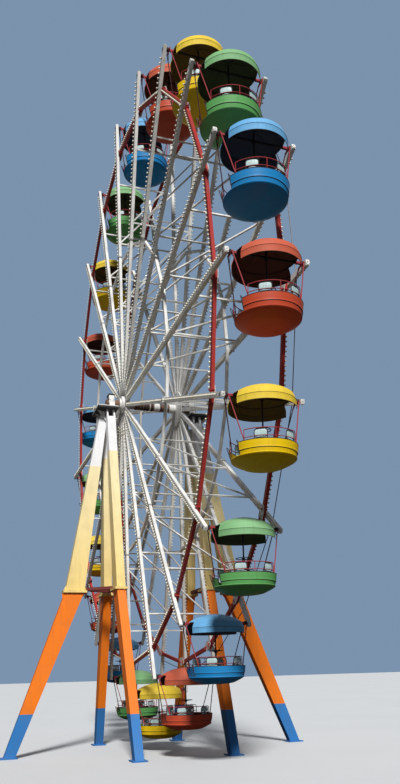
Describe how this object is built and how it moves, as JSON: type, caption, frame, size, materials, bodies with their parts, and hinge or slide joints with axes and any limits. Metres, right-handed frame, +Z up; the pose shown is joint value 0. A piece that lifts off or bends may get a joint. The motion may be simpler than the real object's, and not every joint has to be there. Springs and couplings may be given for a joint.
{
  "type": "ferris wheel",
  "caption": "Open fairground wheel on two tripods of kinked legs, with round canopied cabins hung between paired spokes so that they stay level as it turns.",
  "frame": {"origin": "on the ground under the wheel's centre", "axes": "+Z up, Y along the axle, X in the plane of the wheel; the front side is towards -Y"},
  "size_m": [25.09, 12.53, 25.9],
  "materials": {
    "cabin_blue": "gloss paint, faded, lighter on the canopy",
    "cabin_red": "gloss paint, faded, lighter on the canopy",
    "cabin_yellow": "gloss paint, faded, lighter on the canopy",
    "cabin_green": "gloss paint, faded, lighter on the canopy",
    "wheel_white": "semi-gloss paint",
    "rim_red": "semi-gloss paint",
    "leg_paint": "gloss paint in white, cream, orange and blue bands",
    "tie_dark": "dull dark paint",
    "rope_steel": "greased steel rope",
    "shaft_rust": "rusty brown steel"
  },
  "bodies": {
    "supports": {"front_bearing": "wheel_white", "front_leg_ties": "tie_dark", "front_right_leg": "leg_paint", "front_left_leg": "leg_paint", "front_outward_leg": "leg_paint", "back_bearing": "wheel_white", "back_leg_ties": "tie_dark", "back_right_leg": "leg_paint", "back_left_leg": "leg_paint", "back_outward_leg": "leg_paint"},
    "wheel": {"spoke_frame_01": "wheel_white", "spoke_frame_02": "wheel_white", "spoke_frame_03": "wheel_white", "spoke_frame_04": "wheel_white", "spoke_frame_05": "wheel_white", "spoke_frame_06": "wheel_white", "spoke_frame_07": "wheel_white", "spoke_frame_08": "wheel_white", "spoke_frame_09": "wheel_white", "spoke_frame_10": "wheel_white", "spoke_frame_11": "wheel_white", "spoke_frame_12": "wheel_white", "spoke_frame_13": "wheel_white", "spoke_frame_14": "wheel_white", "spoke_frame_15": "wheel_white", "spoke_frame_16": "wheel_white", "spoke_frame_17": "wheel_white", "spoke_frame_18": "wheel_white", "spoke_frame_19": "wheel_white", "spoke_frame_20": "wheel_white", "front_rim": "rim_red", "front_inner_ring": "wheel_white", "front_hub": "wheel_white", "back_rim": "rim_red", "back_inner_ring": "wheel_white", "back_hub": "wheel_white", "drive_rope": "rope_steel", "axle_shaft": "shaft_rust"},
    "hung_cabin_01": {"cabin_01": "cabin_blue"},
    "hung_cabin_02": {"cabin_02": "cabin_red"},
    "hung_cabin_03": {"cabin_03": "cabin_yellow"},
    "hung_cabin_04": {"cabin_04": "cabin_green"},
    "hung_cabin_05": {"cabin_05": "cabin_blue"},
    "hung_cabin_06": {"cabin_06": "cabin_red"},
    "hung_cabin_07": {"cabin_07": "cabin_yellow"},
    "hung_cabin_08": {"cabin_08": "cabin_green"},
    "hung_cabin_09": {"cabin_09": "cabin_blue"},
    "hung_cabin_10": {"cabin_10": "cabin_red"},
    "hung_cabin_11": {"cabin_11": "cabin_yellow"},
    "hung_cabin_12": {"cabin_12": "cabin_green"},
    "hung_cabin_13": {"cabin_13": "cabin_blue"},
    "hung_cabin_14": {"cabin_14": "cabin_red"},
    "hung_cabin_15": {"cabin_15": "cabin_yellow"},
    "hung_cabin_16": {"cabin_16": "cabin_green"},
    "hung_cabin_17": {"cabin_17": "cabin_blue"},
    "hung_cabin_18": {"cabin_18": "cabin_red"},
    "hung_cabin_19": {"cabin_19": "cabin_yellow"},
    "hung_cabin_20": {"cabin_20": "cabin_green"}
  },
  "joints": [
    {"name": "wheel_spin", "type": "hinge", "parent": "supports", "child": "wheel", "pos_m": [0, 0, 14], "axis": [0, 1, 0], "continuous": true},
    {"name": "cabin_01_swing", "type": "hinge", "parent": "wheel", "child": "hung_cabin_01", "pos_m": [0, 0, 25.6], "axis": [0, 1, 0], "continuous": true},
    {"name": "cabin_02_swing", "type": "hinge", "parent": "wheel", "child": "hung_cabin_02", "pos_m": [3.5846, 0, 25.03226], "axis": [0, 1, 0], "continuous": true},
    {"name": "cabin_03_swing", "type": "hinge", "parent": "wheel", "child": "hung_cabin_03", "pos_m": [6.81831, 0, 23.3846], "axis": [0, 1, 0], "continuous": true},
    {"name": "cabin_04_swing", "type": "hinge", "parent": "wheel", "child": "hung_cabin_04", "pos_m": [9.3846, 0, 20.81831], "axis": [0, 1, 0], "continuous": true},
    {"name": "cabin_05_swing", "type": "hinge", "parent": "wheel", "child": "hung_cabin_05", "pos_m": [11.03226, 0, 17.5846], "axis": [0, 1, 0], "continuous": true},
    {"name": "cabin_06_swing", "type": "hinge", "parent": "wheel", "child": "hung_cabin_06", "pos_m": [11.6, 0, 14], "axis": [0, 1, 0], "continuous": true},
    {"name": "cabin_07_swing", "type": "hinge", "parent": "wheel", "child": "hung_cabin_07", "pos_m": [11.03226, 0, 10.4154], "axis": [0, 1, 0], "continuous": true},
    {"name": "cabin_08_swing", "type": "hinge", "parent": "wheel", "child": "hung_cabin_08", "pos_m": [9.3846, 0, 7.18169], "axis": [0, 1, 0], "continuous": true},
    {"name": "cabin_09_swing", "type": "hinge", "parent": "wheel", "child": "hung_cabin_09", "pos_m": [6.81831, 0, 4.6154], "axis": [0, 1, 0], "continuous": true},
    {"name": "cabin_10_swing", "type": "hinge", "parent": "wheel", "child": "hung_cabin_10", "pos_m": [3.5846, 0, 2.96774], "axis": [0, 1, 0], "continuous": true},
    {"name": "cabin_11_swing", "type": "hinge", "parent": "wheel", "child": "hung_cabin_11", "pos_m": [0, 0, 2.4], "axis": [0, 1, 0], "continuous": true},
    {"name": "cabin_12_swing", "type": "hinge", "parent": "wheel", "child": "hung_cabin_12", "pos_m": [-3.5846, 0, 2.96774], "axis": [0, 1, 0], "continuous": true},
    {"name": "cabin_13_swing", "type": "hinge", "parent": "wheel", "child": "hung_cabin_13", "pos_m": [-6.81831, 0, 4.6154], "axis": [0, 1, 0], "continuous": true},
    {"name": "cabin_14_swing", "type": "hinge", "parent": "wheel", "child": "hung_cabin_14", "pos_m": [-9.3846, 0, 7.18169], "axis": [0, 1, 0], "continuous": true},
    {"name": "cabin_15_swing", "type": "hinge", "parent": "wheel", "child": "hung_cabin_15", "pos_m": [-11.03226, 0, 10.4154], "axis": [0, 1, 0], "continuous": true},
    {"name": "cabin_16_swing", "type": "hinge", "parent": "wheel", "child": "hung_cabin_16", "pos_m": [-11.6, 0, 14], "axis": [0, 1, 0], "continuous": true},
    {"name": "cabin_17_swing", "type": "hinge", "parent": "wheel", "child": "hung_cabin_17", "pos_m": [-11.03226, 0, 17.5846], "axis": [0, 1, 0], "continuous": true},
    {"name": "cabin_18_swing", "type": "hinge", "parent": "wheel", "child": "hung_cabin_18", "pos_m": [-9.3846, 0, 20.81831], "axis": [0, 1, 0], "continuous": true},
    {"name": "cabin_19_swing", "type": "hinge", "parent": "wheel", "child": "hung_cabin_19", "pos_m": [-6.81831, 0, 23.3846], "axis": [0, 1, 0], "continuous": true},
    {"name": "cabin_20_swing", "type": "hinge", "parent": "wheel", "child": "hung_cabin_20", "pos_m": [-3.5846, 0, 25.03226], "axis": [0, 1, 0], "continuous": true}
  ],
  "couplings": [
    {"joint": "cabin_01_swing", "follows": "wheel_spin", "ratio": -1},
    {"joint": "cabin_02_swing", "follows": "wheel_spin", "ratio": -1},
    {"joint": "cabin_03_swing", "follows": "wheel_spin", "ratio": -1},
    {"joint": "cabin_04_swing", "follows": "wheel_spin", "ratio": -1},
    {"joint": "cabin_05_swing", "follows": "wheel_spin", "ratio": -1},
    {"joint": "cabin_06_swing", "follows": "wheel_spin", "ratio": -1},
    {"joint": "cabin_07_swing", "follows": "wheel_spin", "ratio": -1},
    {"joint": "cabin_08_swing", "follows": "wheel_spin", "ratio": -1},
    {"joint": "cabin_09_swing", "follows": "wheel_spin", "ratio": -1},
    {"joint": "cabin_10_swing", "follows": "wheel_spin", "ratio": -1},
    {"joint": "cabin_11_swing", "follows": "wheel_spin", "ratio": -1},
    {"joint": "cabin_12_swing", "follows": "wheel_spin", "ratio": -1},
    {"joint": "cabin_13_swing", "follows": "wheel_spin", "ratio": -1},
    {"joint": "cabin_14_swing", "follows": "wheel_spin", "ratio": -1},
    {"joint": "cabin_15_swing", "follows": "wheel_spin", "ratio": -1},
    {"joint": "cabin_16_swing", "follows": "wheel_spin", "ratio": -1},
    {"joint": "cabin_17_swing", "follows": "wheel_spin", "ratio": -1},
    {"joint": "cabin_18_swing", "follows": "wheel_spin", "ratio": -1},
    {"joint": "cabin_19_swing", "follows": "wheel_spin", "ratio": -1},
    {"joint": "cabin_20_swing", "follows": "wheel_spin", "ratio": -1}
  ]
}
